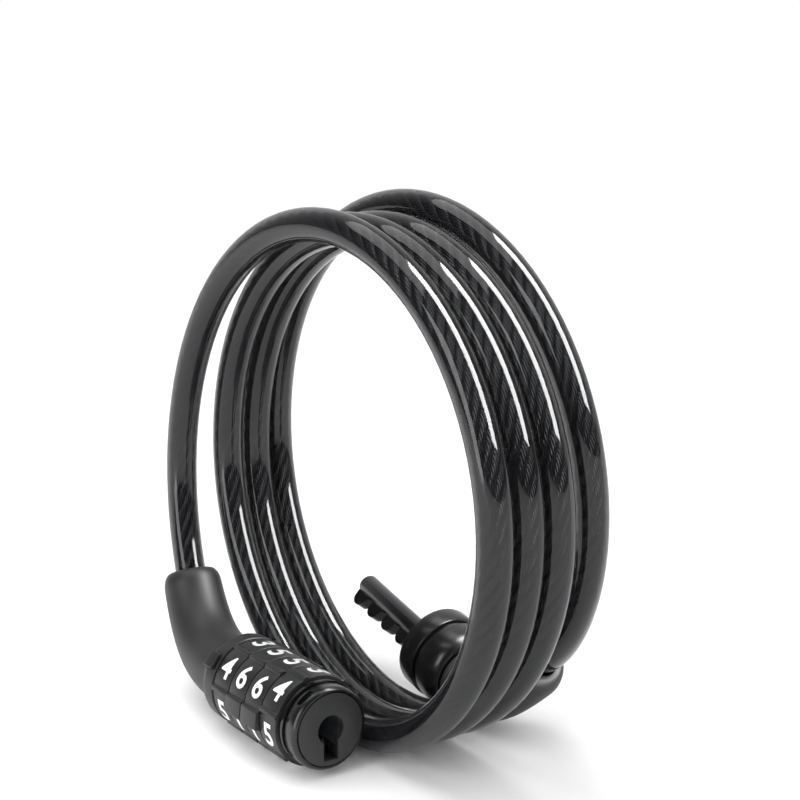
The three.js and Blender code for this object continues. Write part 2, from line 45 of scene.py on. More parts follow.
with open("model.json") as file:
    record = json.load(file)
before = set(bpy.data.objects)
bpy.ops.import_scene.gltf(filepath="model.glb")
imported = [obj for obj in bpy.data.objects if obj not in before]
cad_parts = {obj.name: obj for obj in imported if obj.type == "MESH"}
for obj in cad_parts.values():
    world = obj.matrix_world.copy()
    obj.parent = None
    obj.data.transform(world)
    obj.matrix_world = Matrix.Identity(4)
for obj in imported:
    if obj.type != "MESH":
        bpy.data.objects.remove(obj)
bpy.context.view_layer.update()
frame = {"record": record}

MM = 0.001
TAU = 2 * math.pi


# ---------------------------------------------------------------- places taken from the frame
def box_centre(node):
    low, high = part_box(node)
    return (low + high) / 2


def mount_axis(name):
    mounts = frame["record"]["mounts"]
    return Vector(next(m["axis"] for m in mounts if m["name"] == name)).normalized()


FLANGE_CENTRE = box_centre("end_flange")
HEAD_START = Vector((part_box("rear_housing")[0].x, FLANGE_CENTRE.y, FLANGE_CENTRE.z))
BOLT_AXIS = mount_axis("bolt_ring_face")
RING_LENGTH = 7 * MM
BOLT_FACE = box_centre("bolt_ring") + BOLT_AXIS * RING_LENGTH / 2
BOLT_ROLL = math.radians(38)  # turns the teeth to one side

# The coil's centre: the plain ring gives x and z, and its front rim stands 3.847 mm behind the centre.
RING_SET_BACK = 3.847 * MM
COIL_CENTRE = Vector((box_centre("cable_coil").x,
                      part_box("cable_coil")[0].y - RING_SET_BACK,
                      box_centre("cable_coil").z))


def along_head(x):
    """A distance from the rear rim of the lock head, as a place on the head's axis."""
    return HEAD_START + Vector((x, 0, 0))


def bolt_matrix(roll=0.0):
    """The bolt's own frame: +X from its front face towards the tip, turned about that by roll."""
    side = Vector((0, 0, 1)).cross(BOLT_AXIS).normalized()
    up = BOLT_AXIS.cross(side)
    turn = Matrix((BOLT_AXIS, side, up)).transposed().to_4x4()
    return Matrix.Translation(BOLT_FACE) @ turn @ Matrix.Rotation(roll, 4, "X")


# ---------------------------------------------------------------- settings
class LOCK_PG_cable(bpy.types.PropertyGroup):
    """Sizes of the cable"""

    diameter: FloatProperty(
        name="Sheath diameter", description="Over the clear sheath",
        default=8 * MM, min=0.002, unit="LENGTH")
    rope_diameter: FloatProperty(
        name="Rope diameter", description="Steel rope, as wide as the sheath makes it look",
        default=6.3 * MM, min=0.001, unit="LENGTH")
    strands: IntProperty(
        name="Strands", description="Outer strands of the steel rope", default=6, min=3, max=12)
    lay_length: FloatProperty(
        name="Lay length", description="Along the rope, for one turn of a strand",
        default=29 * MM, min=0.005, unit="LENGTH")
    turns: FloatProperty(
        name="Turns", description="Turns of the coil from boot to boot", default=3.72, min=1)
    coil_radius: FloatProperty(
        name="Coil radius", description="Centreline of the even turns",
        default=59.5 * MM, min=0.02, unit="LENGTH")
    pitch: FloatProperty(
        name="Pitch", description="Distance between two even turns",
        default=8.4 * MM, min=0.004, unit="LENGTH")


class LOCK_PG_finish(bpy.types.PropertyGroup):
    """Colours of the finishes"""

    sheath: FloatVectorProperty(
        name="Sheath", description="Smoke tint of the clear sheath", subtype="COLOR",
        default=(0.006, 0.006, 0.007), min=0, max=1)
    rope: FloatVectorProperty(
        name="Rope", description="Steel of the rope", subtype="COLOR",
        default=(0.3, 0.304, 0.312), min=0, max=1)
    moulding: FloatVectorProperty(
        name="Moulding", description="Satin charcoal plastic of the lock head", subtype="COLOR",
        default=(0.013, 0.0132, 0.014), min=0, max=1)
    boot: FloatVectorProperty(
        name="Boot", description="Satin dark grey of the elbow boots", subtype="COLOR",
        default=(0.017, 0.0172, 0.018), min=0, max=1)
    numeral: FloatVectorProperty(
        name="Numerals", description="White paint of the numerals", subtype="COLOR",
        default=(0.86, 0.87, 0.88), min=0, max=1)
    floor: FloatVectorProperty(
        name="Floor", description="Pale floor", subtype="COLOR",
        default=(1.0, 1.0, 1.0), min=0, max=1)


class LOCK_PG_stage(bpy.types.PropertyGroup):
    """The camera and the lights"""

    azimuth: FloatProperty(
        name="Azimuth", description="Where the camera stands round the lock",
        default=math.radians(54.65), subtype="ANGLE")
    elevation: FloatProperty(
        name="Elevation", description="How far the camera looks down",
        default=math.radians(11.19), subtype="ANGLE")
    distance: FloatProperty(
        name="Distance", description="From the camera to the point it looks at",
        default=366.2 * MM, min=0.05, unit="LENGTH")
    lens: FloatProperty(
        name="Lens", description="Focal length in millimetres on a 36 mm sensor",
        default=68.62, min=10)
    softbox: FloatProperty(
        name="Softbox", description="Power of the tall softbox on the right, in watts", default=42.0)
    overhead: FloatProperty(
        name="Overhead", description="Power of the light above, in watts", default=6.0)
    fill: FloatProperty(
        name="Fill", description="Power of the light on the left, in watts", default=4.5)


# ---------------------------------------------------------------- the cable's route
def smooth(value):
    t = min(max(value, 0), 1)
    return t * t * (3 - 2 * t)


START_ANGLE = 205  # degrees round the coil at the lock head's end
HEAD_SPREAD, HEAD_SET, HEAD_FADE = 6.8 * MM, 3.8 * MM, 0.2  # outwards, forwards, and over how many turns
BOLT_DRAW, BOLT_FADE = 5.2 * MM, 0.15  # inwards
BOLT_SET, BOLT_SET_FADE = 14.2 * MM, 0.12  # backwards
LAST_FROM, LAST_OVER = 2.8, 0.6  # the last turn, moved a little to one side and up
LAST_SIDE, LAST_RISE = 3.2 * MM, 3.3 * MM
LAST_WIDER, WIDER_FROM, WIDER_OVER = 1.8 * MM, 2.77, 0.45


def coil_point(turn):
    """A point of the coil: even turns that spring open towards both ends."""
    cable = bpy.context.scene.lock_cable
    left = cable.turns - turn
    near_head = math.exp(-turn / HEAD_FADE)
    near_bolt = math.exp(-left / BOLT_FADE)
    last = smooth((turn - LAST_FROM) / LAST_OVER)
    r = (cable.coil_radius + HEAD_SPREAD * near_head - BOLT_DRAW * near_bolt
         + LAST_WIDER * smooth((turn - WIDER_FROM) / WIDER_OVER))
    a = math.radians(START_ANGLE - 360 * turn)
    return COIL_CENTRE + Vector((
        r * math.cos(a) - LAST_SIDE * last,
        cable.pitch * (turn - 1) - HEAD_SET * near_head + BOLT_SET * math.exp(-left / BOLT_SET_FADE),
        r * math.sin(a) + LAST_RISE * last))


def coil_direction(turn):
    step = 0.001
    return (coil_point(turn + step) - coil_point(turn - step)).normalized()


FERRULE_TAIL = 4 * MM
SEAT_GAP = 0.3 * MM
BOLT_LENGTH = 15.2 * MM  # ring and cap, behind the bolt's front face


def head_tail():
    """The four points of the curve from the lock head's ferrule to the coil."""
    start = along_head(-FERRULE_TAIL - SEAT_GAP)
    end = coil_point(0)
    return [start, start + Vector((-8 * MM, 0, 0)), end - coil_direction(0) * 26 * MM, end]


def bolt_tail():
    """The four points of the curve from the bolt's ferrule to the coil."""
    turns = bpy.context.scene.lock_cable.turns
    start = BOLT_FACE - BOLT_AXIS * (BOLT_LENGTH + FERRULE_TAIL + SEAT_GAP)
    end = coil_point(turns)
    return [start, start - BOLT_AXIS * 8 * MM, end + coil_direction(turns) * 9 * MM, end]


def bezier(points, t):
    a, b, c, d = points
    s = 1 - t
    return a * s ** 3 + b * 3 * s * s * t + c * 3 * s * t * t + d * t ** 3


def cable_route(per_turn=90, per_tail=26):
    """The cable's centreline, from the lock head's ferrule to the bolt's."""
    turns = bpy.context.scene.lock_cable.turns
    count = round(per_turn * turns)
    first = [bezier(head_tail(), i / per_tail) for i in range(per_tail)]
    coil = [coil_point(turns * i / count) for i in range(count)]
    last = [bezier(bolt_tail(), 1 - i / per_tail) for i in range(per_tail + 1)]
    return first + coil + last


def route_length(points):
    return sum((b - a).length for a, b in zip(points, points[1:]))


def carried_frames(points):
    """For each point of a route, its direction and a side that doesn't twist along the route."""
    frames = []
    side = None
    for i, point in enumerate(points):
        along = (points[min(i + 1, len(points) - 1)] - points[max(i - 1, 0)]).normalized()
        side = Vector((0, 1, 0)) if side is None else side
        side = (side - along * side.dot(along)).normalized()
        frames.append((point, along, side, along.cross(side)))
    return frames


def tube(name, points, radius, sides):
    """A closed round tube along a route, with a UV map: u round it and v in metres along it."""
    frames = carried_frames(points)
    vertices = []
    for point, _, side, other in frames:
        for k in range(sides):
            a = TAU * k / sides
            vertices.append(point + side * radius * math.cos(a) + other * radius * math.sin(a))
    faces = []
    for i in range(len(points) - 1):
        for k in range(sides):
            n = (k + 1) % sides
            faces.append((i * sides + k, i * sides + n, (i + 1) * sides + n, (i + 1) * sides + k))
    last = (len(points) - 1) * sides
    faces.append(tuple(reversed(range(sides))))
    faces.append(tuple(range(last, last + sides)))
    mesh = bpy.data.meshes.new(name)
    mesh.from_pydata(vertices, [], faces)
    lengths = [0.0]
    for a, b in zip(points, points[1:]):
        lengths.append(lengths[-1] + (b - a).length)
    uv = mesh.uv_layers.new(name="UVMap")
    for polygon in mesh.polygons:
        if polygon.index >= len(faces) - 2:
            continue
        i, k = divmod(polygon.index, sides)
        corners = [(k, i), (k + 1, i), (k + 1, i + 1), (k, i + 1)]
        for loop, (u, row) in zip(polygon.loop_indices, corners):
            uv.data[loop].uv = (u / sides, lengths[row])
    mesh.polygons.foreach_set("use_smooth", [True] * (len(faces) - 2) + [False] * 2)
    piece = bpy.data.objects.new(name, mesh)
    bpy.context.scene.collection.objects.link(piece)
    return piece


# ---------------------------------------------------------------- modelling helpers
def clear_selection():
    if bpy.context.object and bpy.context.object.mode != "OBJECT":
        bpy.ops.object.mode_set(mode="OBJECT")
    bpy.ops.object.select_all(action="DESELECT")


def pick(piece):
    clear_selection()
    piece.select_set(True)
    bpy.context.view_layer.objects.active = piece


def draw_line(name, points):
    """A new object with one line of vertices through the points, left in edit mode, all selected."""
    clear_selection()
    bpy.ops.mesh.primitive_plane_add(size=MM)
    bpy.context.object.name = name
    bpy.ops.object.mode_set(mode="EDIT")
    bpy.ops.mesh.select_all(action="SELECT")
    bpy.ops.mesh.merge(type="CENTER")
    bpy.ops.transform.translate(value=points[0])
    for a, b in zip(points, points[1:]):
        step = Vector(b) - Vector(a)
        bpy.ops.mesh.extrude_vertices_move(TRANSFORM_OT_translate={"value": step})
    bpy.ops.mesh.select_all(action="SELECT")
    bpy.ops.mesh.remove_doubles(threshold=1e-6)
    bpy.ops.mesh.select_all(action="SELECT")
    return bpy.context.object


def spun(name, profile, steps=96):
    """A piece turned about X from a closed outline of (x, radius) points in millimetres."""
    closed = [(x * MM, 0, r * MM) for x, r in [*profile, profile[0]]]
    piece = draw_line(name, closed)
    bpy.ops.mesh.spin(steps=steps, angle=TAU, center=(0, 0, 0), axis=(1, 0, 0))
    bpy.ops.mesh.select_all(action="SELECT")
    bpy.ops.mesh.remove_doubles(threshold=1e-6)
    bpy.ops.mesh.select_all(action="SELECT")
    bpy.ops.mesh.normals_make_consistent(inside=False)
    bpy.ops.object.mode_set(mode="OBJECT")
    return piece


def extruded(name, outline, x0, x1):
    """A closed outline of (y, z) points in millimetres, filled and extruded along X."""
    closed = [(x0 * MM, y * MM, z * MM) for y, z in [*outline, outline[0]]]
    piece = draw_line(name, closed)
    bpy.ops.mesh.edge_face_add()
    bpy.ops.mesh.extrude_region_move(TRANSFORM_OT_translate={"value": ((x1 - x0) * MM, 0, 0)})
    bpy.ops.mesh.select_all(action="SELECT")
    bpy.ops.mesh.normals_make_consistent(inside=False)
    bpy.ops.object.mode_set(mode="OBJECT")
    return piece


def block(name, size, centre):
    """A box of the given size in millimetres, for cutting with or as a blank."""
    clear_selection()
    bpy.ops.mesh.primitive_cube_add(size=1)
    piece = bpy.context.object
    piece.name = name
    piece.scale = [s * MM for s in size]
    piece.location = [c * MM for c in centre]
    bpy.ops.object.transform_apply(location=True, rotation=True, scale=True)
    return piece


def use_modifier(piece, kind, **values):
    """Adds a modifier with these values and applies it."""
    modifier = piece.modifiers.new(kind.title(), kind)
    for key, value in values.items():
        setattr(modifier, key, value)
    pick(piece)
    bpy.ops.object.modifier_apply(modifier=modifier.name)


def boolean(piece, tool, operation="DIFFERENCE"):
    use_modifier(piece, "BOOLEAN", object=tool, operation=operation, solver="EXACT")
    bpy.data.objects.remove(tool)


def soften(piece, width, segments=3, angle=30):
    """Rounds every edge sharper than the angle."""
    use_modifier(piece, "BEVEL", width=width * MM, segments=segments, limit_method="ANGLE",
                 angle_limit=math.radians(angle), harden_normals=False)


def place(piece, matrix):
    """Puts a piece modelled round the origin where it belongs, with the place in its mesh."""
    piece.matrix_world = matrix @ piece.matrix_world
    pick(piece)
    bpy.ops.object.transform_apply(location=True, rotation=True, scale=True)
    return piece


def finish_piece(piece, body, material, slot, *nodes, smooth_angle=32):
    """Shades a piece, gives it its material, hides the imported nodes it replaces and hands it to its
    body.
    """
    pick(piece)
    bpy.ops.object.shade_smooth_by_angle(angle=math.radians(smooth_angle))
    piece.data.materials.clear()
    piece.data.materials.append(material)
    if nodes:
        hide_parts(*nodes)
    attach(piece, body)
    return piece


# ---------------------------------------------------------------- materials
def node_group(name, inputs, outputs):
    """An empty shader node group: inputs are (name, socket type, default), outputs (name, type)."""
    group = bpy.data.node_groups.new(name, "ShaderNodeTree")
    for label, kind, default in inputs:
        socket = group.interface.new_socket(label, in_out="INPUT", socket_type=kind)
        if default is not None:
            socket.default_value = default
    for label, kind in outputs:
        group.interface.new_socket(label, in_out="OUTPUT", socket_type=kind)
    start = group.nodes.new("NodeGroupInput")
    end = group.nodes.new("NodeGroupOutput")
    return group, start, end


def join(tree, source, target):
    tree.links.new(source, target)


def add_node(tree, kind, **values):
    """A node with its settings and, under the sockets' names, its input values."""
    node = tree.nodes.new(kind)
    for key, value in values.items():
        if hasattr(node, key):
            setattr(node, key, value)
        else:
            node.inputs[key.replace("_", " ")].default_value = value
    return node


def moulded_grain_group():
    """Fine moulding grain: slight changes of shade and gloss, and a height for a bump."""
    if "Moulded grain" in bpy.data.node_groups:
        return bpy.data.node_groups["Moulded grain"]
    group, start, end = node_group(
        "Moulded grain",
        [("Position", "NodeSocketVector", None), ("Colour", "NodeSocketColor", (0.03, 0.03, 0.03, 1)),
         ("Roughness", "NodeSocketFloat", 0.45), ("Grain size", "NodeSocketFloat", 3000.0),
         ("Shade change", "NodeSocketFloat", 0.2), ("Gloss change", "NodeSocketFloat", 0.08)],
        [("Colour", "NodeSocketColor"), ("Roughness", "NodeSocketFloat"), ("Height", "NodeSocketFloat")])
    fine = add_node(group, "ShaderNodeTexNoise", Detail=3.0, Roughness=0.6)
    broad = add_node(group, "ShaderNodeTexNoise", Scale=130.0, Detail=4.0, Roughness=0.55)
    join(group, start.outputs["Position"], fine.inputs["Vector"])
    join(group, start.outputs["Grain size"], fine.inputs["Scale"])
    join(group, start.outputs["Position"], broad.inputs["Vector"])
    shade = add_node(group, "ShaderNodeMath", operation="SUBTRACT")
    join(group, broad.outputs["Fac"], shade.inputs[0])
    shade.inputs[1].default_value = 0.5
    scale = add_node(group, "ShaderNodeMath", operation="MULTIPLY_ADD")
    join(group, shade.outputs[0], scale.inputs[0])
    join(group, start.outputs["Shade change"], scale.inputs[1])
    scale.inputs[2].default_value = 1.0
    tint = add_node(group, "ShaderNodeVectorMath", operation="SCALE")
    join(group, start.outputs["Colour"], tint.inputs[0])
    join(group, scale.outputs[0], tint.inputs["Scale"])
    gloss = add_node(group, "ShaderNodeMath", operation="MULTIPLY_ADD")
    join(group, shade.outputs[0], gloss.inputs[0])
    join(group, start.outputs["Gloss change"], gloss.inputs[1])
    join(group, start.outputs["Roughness"], gloss.inputs[2])
    join(group, tint.outputs[0], end.inputs["Colour"])
    join(group, gloss.outputs[0], end.inputs["Roughness"])
    join(group, fine.outputs["Fac"], end.inputs["Height"])
    return group


def laid_wires_group():
    """Fine wires laid along a strand, read from its UV map: a height, and a mask of the gaps between
    wires, where shade is painted.
    """
    if "Laid wires" in bpy.data.node_groups:
        return bpy.data.node_groups["Laid wires"]
    group, start, end = node_group(
        "Laid wires",
        [("UV", "NodeSocketVector", None), ("Wires", "NodeSocketFloat", 9.0),
         ("Turns per metre", "NodeSocketFloat", 90.0)],
        [("Height", "NodeSocketFloat"), ("Painted gap shade", "NodeSocketFloat")])
    split = add_node(group, "ShaderNodeSeparateXYZ")
    join(group, start.outputs["UV"], split.inputs[0])
    turned = add_node(group, "ShaderNodeMath", operation="MULTIPLY_ADD")
    join(group, split.outputs["Y"], turned.inputs[0])
    join(group, start.outputs["Turns per metre"], turned.inputs[1])
    join(group, split.outputs["X"], turned.inputs[2])
    wires = add_node(group, "ShaderNodeMath", operation="MULTIPLY")
    join(group, turned.outputs[0], wires.inputs[0])
    join(group, start.outputs["Wires"], wires.inputs[1])
    within = add_node(group, "ShaderNodeMath", operation="FRACT")
    join(group, wires.outputs[0], within.inputs[0])
    across = add_node(group, "ShaderNodeMath", operation="MULTIPLY")
    join(group, within.outputs[0], across.inputs[0])
    across.inputs[1].default_value = math.pi
    round_top = add_node(group, "ShaderNodeMath", operation="SINE")
    join(group, across.outputs[0], round_top.inputs[0])
    height = add_node(group, "ShaderNodeMath", operation="POWER")
    join(group, round_top.outputs[0], height.inputs[0])
    height.inputs[1].default_value = 0.5
    # painted shade: the narrow bands between the wires, where shade falls in the crease, are masked here
    # to be coloured near black
    painted_gap_shade = add_node(group, "ShaderNodeMath", operation="LESS_THAN")
    join(group, round_top.outputs[0], painted_gap_shade.inputs[0])
    painted_gap_shade.inputs[1].default_value = 0.3
    join(group, height.outputs[0], end.inputs["Height"])
    join(group, painted_gap_shade.outputs[0], end.inputs["Painted gap shade"])
    return group


def new_material(name, **sockets):
    """A material with a Principled BSDF whose sockets have these values."""
    material = bpy.data.materials.new(name)
    material.use_nodes = True
    shader = material.node_tree.nodes["Principled BSDF"]
    for key, value in sockets.items():
        socket = shader.inputs[key.replace("_", " ")]
        is_colour = key in ("Base_Color", "Sheen_Tint", "Coat_Tint", "Emission_Color")
        socket.default_value = (*value, 1) if is_colour else value
    return material, material.node_tree, shader


def grained(name, colour, roughness, grain=3000.0, bump=0.06, shade=0.25, gloss=0.1, **sockets):
    """Moulded plastic or cast metal with a fine grain."""
    material, tree, shader = new_material(name, **sockets)
    where = add_node(tree, "ShaderNodeTexCoord")
    texture = add_node(tree, "ShaderNodeGroup", node_tree=moulded_grain_group())
    texture.inputs["Colour"].default_value = (*colour, 1)
    texture.inputs["Roughness"].default_value = roughness
    texture.inputs["Grain size"].default_value = grain
    texture.inputs["Shade change"].default_value = shade
    texture.inputs["Gloss change"].default_value = gloss
    join(tree, where.outputs["Object"], texture.inputs["Position"])
    relief = add_node(tree, "ShaderNodeBump", Strength=bump, Distance=0.05 * MM)
    join(tree, texture.outputs["Height"], relief.inputs["Height"])
    join(tree, texture.outputs["Colour"], shader.inputs["Base Color"])
    join(tree, texture.outputs["Roughness"], shader.inputs["Roughness"])
    join(tree, relief.outputs["Normal"], shader.inputs["Normal"])
    return material


def satin_moulding():
    name = "satin moulding"
    return bpy.data.materials.get(name) or grained(
        name, bpy.context.scene.lock_finish.moulding, 0.42, Specular_IOR_Level=0.5)


def satin_boot():
    name = "satin boot"
    return bpy.data.materials.get(name) or grained(
        name, bpy.context.scene.lock_finish.boot, 0.5, bump=0.08, Specular_IOR_Level=0.5)


def gloss_moulding():
    name = "gloss moulding"
    return bpy.data.materials.get(name) or grained(
        name, (0.006, 0.0062, 0.0066), 0.26, bump=0.04, Specular_IOR_Level=0.5)


def matte_face():
    name = "matte face"
    return bpy.data.materials.get(name) or grained(
        name, (0.018, 0.0182, 0.019), 0.55, bump=0.08, Specular_IOR_Level=0.5)


def gloss_neck():
    name = "gloss neck"
    return bpy.data.materials.get(name) or grained(
        name, (0.006, 0.006, 0.0065), 0.12, bump=0.02, gloss=0.05)


def numeral_paint():
    name = "numeral paint"
    return bpy.data.materials.get(name) or grained(
        name, bpy.context.scene.lock_finish.numeral, 0.5, bump=0.05, shade=0.08, gloss=0.05)


def cast_alloy():
    name = "cast alloy"
    return bpy.data.materials.get(name) or grained(
        name, (0.3, 0.31, 0.33), 0.4, grain=2200.0, bump=0.15, Metallic=0.9)


def bright_steel():
    name = "bright steel"
    return bpy.data.materials.get(name) or grained(
        name, (0.55, 0.56, 0.58), 0.25, grain=5200.0, Metallic=1.0)


def dark_plating():
    name = "dark plating"
    return bpy.data.materials.get(name) or grained(
        name, (0.022, 0.0225, 0.024), 0.24, grain=4200.0, bump=0.04, Metallic=0.85)


def smoked_sheath():
    """Clear smoked PVC: dark, glossy, and thin enough to show the rope."""
    name = "smoked sheath"
    if name in bpy.data.materials:
        return bpy.data.materials[name]
    material, tree, shader = new_material(name, IOR=1.5, Alpha=0.8)
    where = add_node(tree, "ShaderNodeTexCoord")
    texture = add_node(tree, "ShaderNodeGroup", node_tree=moulded_grain_group())
    texture.inputs["Colour"].default_value = (*bpy.context.scene.lock_finish.sheath, 1)
    texture.inputs["Roughness"].default_value = 0.07
    texture.inputs["Grain size"].default_value = 420.0
    texture.inputs["Gloss change"].default_value = 0.05
    join(tree, where.outputs["Object"], texture.inputs["Position"])
    relief = add_node(tree, "ShaderNodeBump", Strength=0.02, Distance=0.1 * MM)
    join(tree, texture.outputs["Height"], relief.inputs["Height"])
    join(tree, texture.outputs["Colour"], shader.inputs["Base Color"])
    join(tree, texture.outputs["Roughness"], shader.inputs["Roughness"])
    join(tree, relief.outputs["Normal"], shader.inputs["Normal"])
    return material


def rope_steel():
    """Galvanised wires of the rope's strands, with painted shade: near black in the gaps between the
    wires.
    """
    name = "rope steel"
    if name in bpy.data.materials:
        return bpy.data.materials[name]
    material, tree, shader = new_material(name, Metallic=1.0, Roughness=0.22)
    uv = add_node(tree, "ShaderNodeUVMap", uv_map="UVMap")
    wires = add_node(tree, "ShaderNodeGroup", node_tree=laid_wires_group())
    join(tree, uv.outputs["UV"], wires.inputs["UV"])
    shade = add_node(tree, "ShaderNodeMix", data_type="RGBA")
    shade.inputs["A"].default_value = (*bpy.context.scene.lock_finish.rope, 1)
    # painted shade: near black where the wires meet, standing for the shade in the creases between them
    shade.inputs["B"].default_value = (0.01, 0.01, 0.011, 1)
    join(tree, wires.outputs["Painted gap shade"], shade.inputs["Factor"])
    relief = add_node(tree, "ShaderNodeBump", Strength=1.0, Distance=0.35 * MM)
    join(tree, wires.outputs["Height"], relief.inputs["Height"])
    join(tree, shade.outputs["Result"], shader.inputs["Base Color"])
    join(tree, relief.outputs["Normal"], shader.inputs["Normal"])
    return material


def plain_floor():
    material, _, shader = new_material("pale floor", Roughness=0.9, Specular_IOR_Level=0.0)
    shader.inputs["Base Color"].default_value = (*bpy.context.scene.lock_finish.floor, 1)
    return material


# ---------------------------------------------------------------- stage
def camera_back():
    """From what the camera looks at, towards the camera."""
    stage = bpy.context.scene.lock_stage
    a, e = stage.azimuth, stage.elevation
    return Vector((math.sin(a) * math.cos(e), -math.cos(a) * math.cos(e), math.sin(e)))


def softbox(name, direction, distance, width, height, power, along):
    """A rectangular area light that faces the lock, with its long side along the given direction."""
    data = bpy.data.lights.new(name, "AREA")
    data.shape = "RECTANGLE"
    data.size, data.size_y = height, width
    data.energy = power
    light = bpy.data.objects.new(name, data)
    bpy.context.scene.collection.objects.link(light)
    back = Vector(direction).normalized()
    aim = COIL_CENTRE
    long_side = (Vector(along) - back * Vector(along).dot(back)).normalized()
    turn = Matrix((long_side, back.cross(long_side), back)).transposed().to_4x4()
    light.matrix_world = Matrix.Translation(aim + back * distance) @ turn
    return light


def studio_world():
    """White, except in reflections, which see it bright behind the lock and dim in front."""
    world = bpy.data.worlds.new("studio")
    bpy.context.scene.world = world
    world.use_nodes = True
    tree = world.node_tree
    tree.nodes.clear()
    end = tree.nodes.new("ShaderNodeOutputWorld")
    seen = add_node(tree, "ShaderNodeBackground", Color=(1, 1, 1, 1), Strength=1.0)
    lit = add_node(tree, "ShaderNodeBackground", Strength=1.0)
    where = add_node(tree, "ShaderNodeTexCoord")
    facing = add_node(tree, "ShaderNodeVectorMath", operation="DOT_PRODUCT")
    join(tree, where.outputs["Generated"], facing.inputs[0])
    front = camera_back()
    facing.inputs[1].default_value = -Vector((front.x, front.y, 0)).normalized()
    ramp = add_node(tree, "ShaderNodeValToRGB")
    ramp.color_ramp.elements[0].position = 0.25
    ramp.color_ramp.elements[0].color = (0.03, 0.03, 0.03, 1)
    ramp.color_ramp.elements[1].position = 0.75
    ramp.color_ramp.elements[1].color = (0.9, 0.9, 0.91, 1)
    join(tree, facing.outputs["Value"], ramp.inputs["Fac"])
    join(tree, ramp.outputs["Color"], lit.inputs["Color"])
    rays = add_node(tree, "ShaderNodeLightPath")
    choose = add_node(tree, "ShaderNodeMixShader")
    join(tree, rays.outputs["Is Glossy Ray"], choose.inputs["Fac"])
    join(tree, seen.outputs[0], choose.inputs[1])
    join(tree, lit.outputs[0], choose.inputs[2])
    join(tree, choose.outputs[0], end.inputs["Surface"])
    world.cycles.sampling_method = "NONE"


class LOCK_OT_stage(bpy.types.Operator):
    """Make the camera, the pale floor, the studio lights and the white surroundings"""

    bl_idname = "lock.stage"
    bl_label = "Camera and stage"

    def execute(self, context):
        stage = context.scene.lock_stage
        back = camera_back()
        aim = COIL_CENTRE + Vector((-0.54, 15.28, 17.99)) * MM
        data = bpy.data.cameras.new("camera")
        data.lens = stage.lens
        data.sensor_width = 36
        data.clip_start = 0.01
        camera = bpy.data.objects.new("camera", data)
        context.scene.collection.objects.link(camera)
        camera.rotation_mode = "QUATERNION"
        camera.location = aim + back * stage.distance
        camera.rotation_quaternion = (-back).to_track_quat("-Z", "Y")
        context.scene.camera = camera

        clear_selection()
        bpy.ops.mesh.primitive_circle_add(vertices=96, radius=6, fill_type="NGON")
        floor = context.object
        floor.name = "floor"
        floor.data.materials.append(plain_floor())

        softbox("strip softbox", (0.45, 0.42, 0.78), 0.9, 0.42, 1.3, stage.softbox,
                (0.98, 0.22, -0.71)).visible_diffuse = False
        softbox("overhead", (-0.25, -0.1, 1), 1.1, 0.9, 0.9, stage.overhead, (1, 0, 0))
        softbox("left fill", (0.12, -0.97, 0.25), 0.9, 0.35, 0.9, stage.fill, (0, 0, 1))
        studio_world()
        context.scene.view_settings.view_transform = "Standard"
        return {"FINISHED"}


# ---------------------------------------------------------------- the cable
def strand_route(points, radius, lay_length, start):
    """The centreline of one strand, wound right-handed round the cable's own centreline."""
    route = []
    gone = 0.0
    frames = carried_frames(points)
    for i, (point, _, side, other) in enumerate(frames):
        if i:
            gone += (point - frames[i - 1][0]).length
        a = start + TAU * gone / lay_length
        route.append(point + side * radius * math.cos(a) + other * radius * math.sin(a))
    return route


class LOCK_OT_cable(bpy.types.Operator):
    """Make the clear sheath and the strands of the steel rope inside it"""

    bl_idname = "lock.cable"
    bl_label = "Cable"

    def execute(self, context):
        cable = context.scene.lock_cable
        route = cable_route()
        sheath = tube("cable_sheath", route, cable.diameter / 2, 28)
        sheath.data.materials.append(smoked_sheath())
        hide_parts("cable_head_run", "cable_coil", "cable_bolt_run")
        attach(sheath, "root")

        strand_radius = cable.rope_diameter / 6
        fine = cable_route(per_turn=190, per_tail=44)[6:-6]
        for i in range(cable.strands):
            path = strand_route(fine, cable.rope_diameter / 2 - strand_radius,
                                cable.lay_length, TAU * i / cable.strands)
            strand = tube(f"rope_strand_{i + 1}", path, strand_radius, 10)
            strand.data.materials.append(rope_steel())
            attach(strand, "root")
        return {"FINISHED"}


# ---------------------------------------------------------------- boots
BOOT_SHOULDER = 4.4  # rounded end of a boot, along the cable
BOOT_GAP = 0.35  # around the cable
BOOT_LIP = 0.9  # wall left at the mouth
BOOT_ROWS = 36


